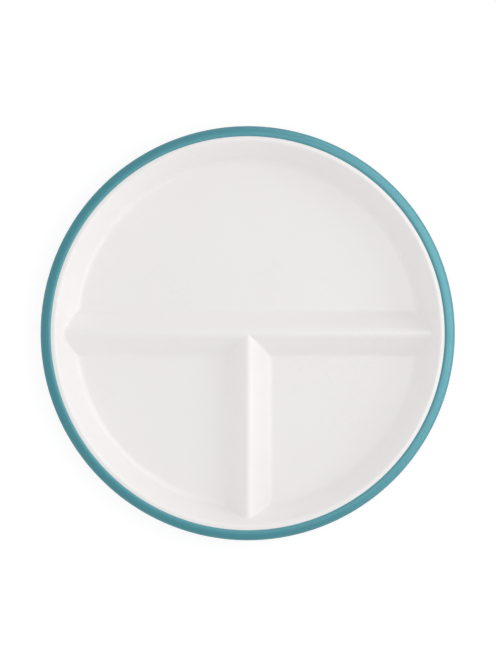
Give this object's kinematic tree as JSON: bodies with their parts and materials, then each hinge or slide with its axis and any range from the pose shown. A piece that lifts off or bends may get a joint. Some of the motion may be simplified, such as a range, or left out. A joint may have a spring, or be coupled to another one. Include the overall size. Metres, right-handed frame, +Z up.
{
  "type": "divided plate",
  "caption": "Round divided plate: a shallow moulded dish with raised dividers in a T between its compartments, a rounded push-on rim ring and a non-slip grip ring in the foot.",
  "frame": {"origin": "centre of the plate on the surface that it stands on", "axes": "+Z up; +X along the long divider, to the right; +Y from the short divider towards the large compartment, so the short divider points to -Y"},
  "size_m": [0.2, 0.2, 0.0212],
  "materials": {
    "dish_white": "satin",
    "ring_teal": "soft matte",
    "grip_teal": "matte"
  },
  "bodies": {
    "plate": {"dish": "dish_white", "grip_ring": "grip_teal"},
    "ring": {"rim_ring": "ring_teal"}
  },
  "joints": [
    {"name": "rim_ring_lift", "type": "slide", "parent": "plate", "child": "ring", "axis": [0, 0, 1], "range_m": [0, 0.03]}
  ]
}
